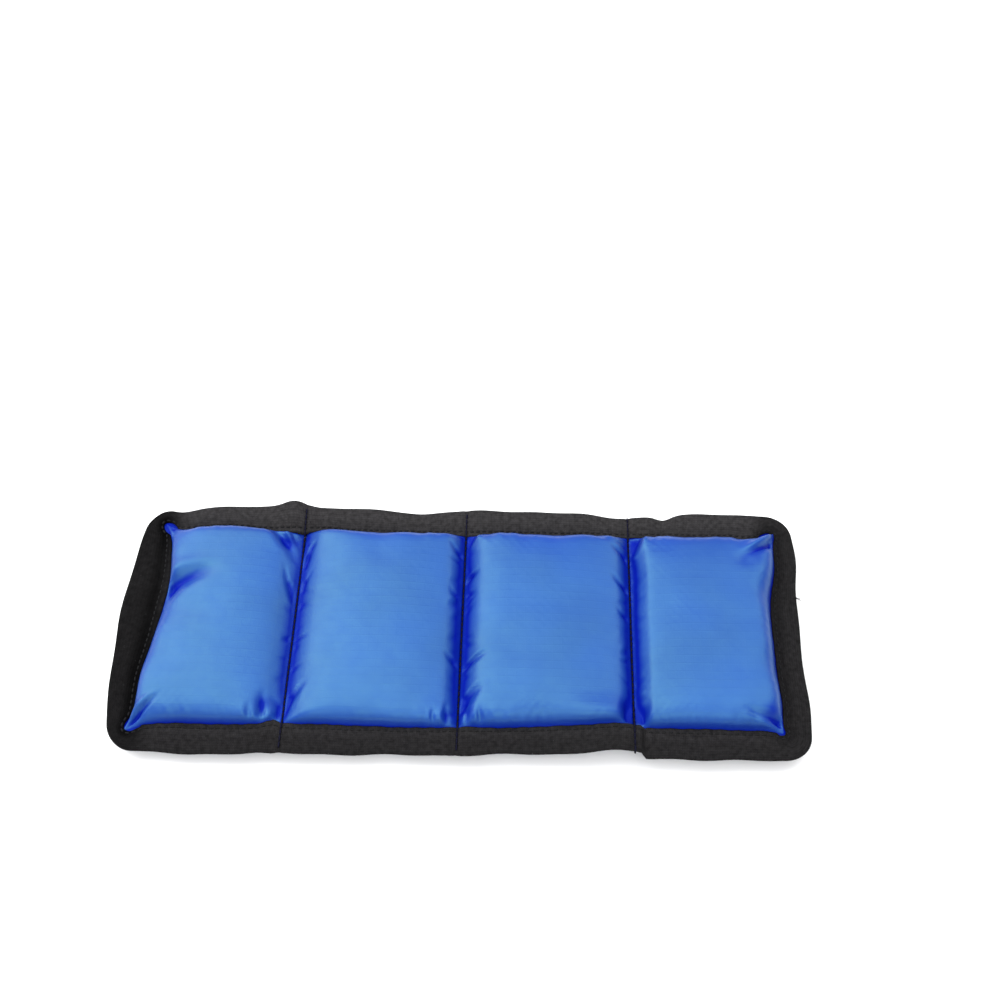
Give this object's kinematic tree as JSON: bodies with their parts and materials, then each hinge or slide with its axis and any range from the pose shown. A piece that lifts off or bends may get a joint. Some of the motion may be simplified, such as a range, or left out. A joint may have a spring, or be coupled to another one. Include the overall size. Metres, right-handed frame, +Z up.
{
  "type": "ankle cuff weight",
  "caption": "Soft cuff of sewn, shot-filled pockets in a row, bound round its edge, that wraps round an ankle or wrist and closes with a hook-and-loop strap.",
  "frame": {"origin": "on the surface that the open cuff lies on, under the middle of the cuff", "axes": "+X along the open cuff towards the end that the strap is sewn to, +Y across it, +Z up through its leg side"},
  "size_m": [0.33, 0.136, 0.021],
  "materials": {
    "blue_nylon": "smooth coated woven nylon with a silky sheen",
    "binding_tape": "matt ribbed polypropylene tape",
    "strap_webbing": "matt napped elastic webbing",
    "hook_tape": "dull nylon hooks",
    "loop_tape": "fuzzy nylon loops",
    "black_thread": "twisted polyester thread",
    "navy_thread": "twisted polyester thread",
    "liner_cloth": "plain woven cotton",
    "iron_shot": "loose dull granules"
  },
  "bodies": {
    "panel_1": {"leg_cover_1": "blue_nylon", "outer_cover_1": "blue_nylon", "shot_bag_1": "liner_cloth", "iron_shot_1": "iron_shot", "binding_thread_1": "black_thread", "binding_end_1": "binding_tape"},
    "panel_2": {"leg_cover_2": "blue_nylon", "outer_cover_2": "blue_nylon", "shot_bag_2": "liner_cloth", "iron_shot_2": "iron_shot", "binding_thread_2": "black_thread", "binding_near_2": "binding_tape", "binding_far_2": "binding_tape", "pocket_stitch_1": "navy_thread"},
    "panel_3": {"leg_cover_3": "blue_nylon", "outer_cover_3": "blue_nylon", "shot_bag_3": "liner_cloth", "iron_shot_3": "iron_shot", "binding_thread_3": "black_thread", "binding_near_3": "binding_tape", "binding_far_3": "binding_tape", "pocket_stitch_2": "navy_thread", "loop_patch": "loop_tape", "loop_stitch": "black_thread"},
    "panel_4": {"leg_cover_4": "blue_nylon", "outer_cover_4": "blue_nylon", "shot_bag_4": "liner_cloth", "iron_shot_4": "iron_shot", "binding_thread_4": "black_thread", "binding_end_4": "binding_tape", "pocket_stitch_3": "navy_thread", "strap_anchor": "strap_webbing", "anchor_stitch": "black_thread"},
    "strap_link": {"strap_link": "strap_webbing"},
    "strap_tail_1": {"strap_tail_1": "strap_webbing"},
    "strap_tail_2": {"strap_tail_2": "strap_webbing"},
    "strap_tail_3": {"strap_tail_3": "strap_webbing", "hook_patch": "hook_tape", "hook_stitch": "black_thread"}
  },
  "joints": [
    {"name": "panel_fold_3", "type": "hinge", "parent": "panel_4", "child": "panel_3", "pos_m": [0.0825, 0, 0.01], "axis": [0, 1, 0], "range_deg": [0, 80]},
    {"name": "panel_fold_2", "type": "hinge", "parent": "panel_3", "child": "panel_2", "pos_m": [0, 0, 0.01], "axis": [0, 1, 0], "range_deg": [0, 85]},
    {"name": "panel_fold_1", "type": "hinge", "parent": "panel_2", "child": "panel_1", "pos_m": [-0.0825, 0, 0.01], "axis": [0, 1, 0], "range_deg": [0, 105]},
    {"name": "strap_fold", "type": "hinge", "parent": "panel_4", "child": "strap_link", "pos_m": [0.162, 0, 0.0026], "axis": [0, -1, 0], "range_deg": [0, 213]},
    {"name": "strap_bend_1", "type": "hinge", "parent": "strap_link", "child": "strap_tail_1", "pos_m": [0.148, 0, 0.0015], "axis": [0, -1, 0], "range_deg": [0, 65]},
    {"name": "strap_bend_2", "type": "hinge", "parent": "strap_tail_1", "child": "strap_tail_2", "pos_m": [0.0355, 0, 0.0015], "axis": [0, -1, 0], "range_deg": [0, 97]},
    {"name": "strap_bend_3", "type": "hinge", "parent": "strap_tail_2", "child": "strap_tail_3", "pos_m": [-0.0675, 0, 0.0015], "axis": [0, -1, 0], "range_deg": [0, 85]}
  ]
}
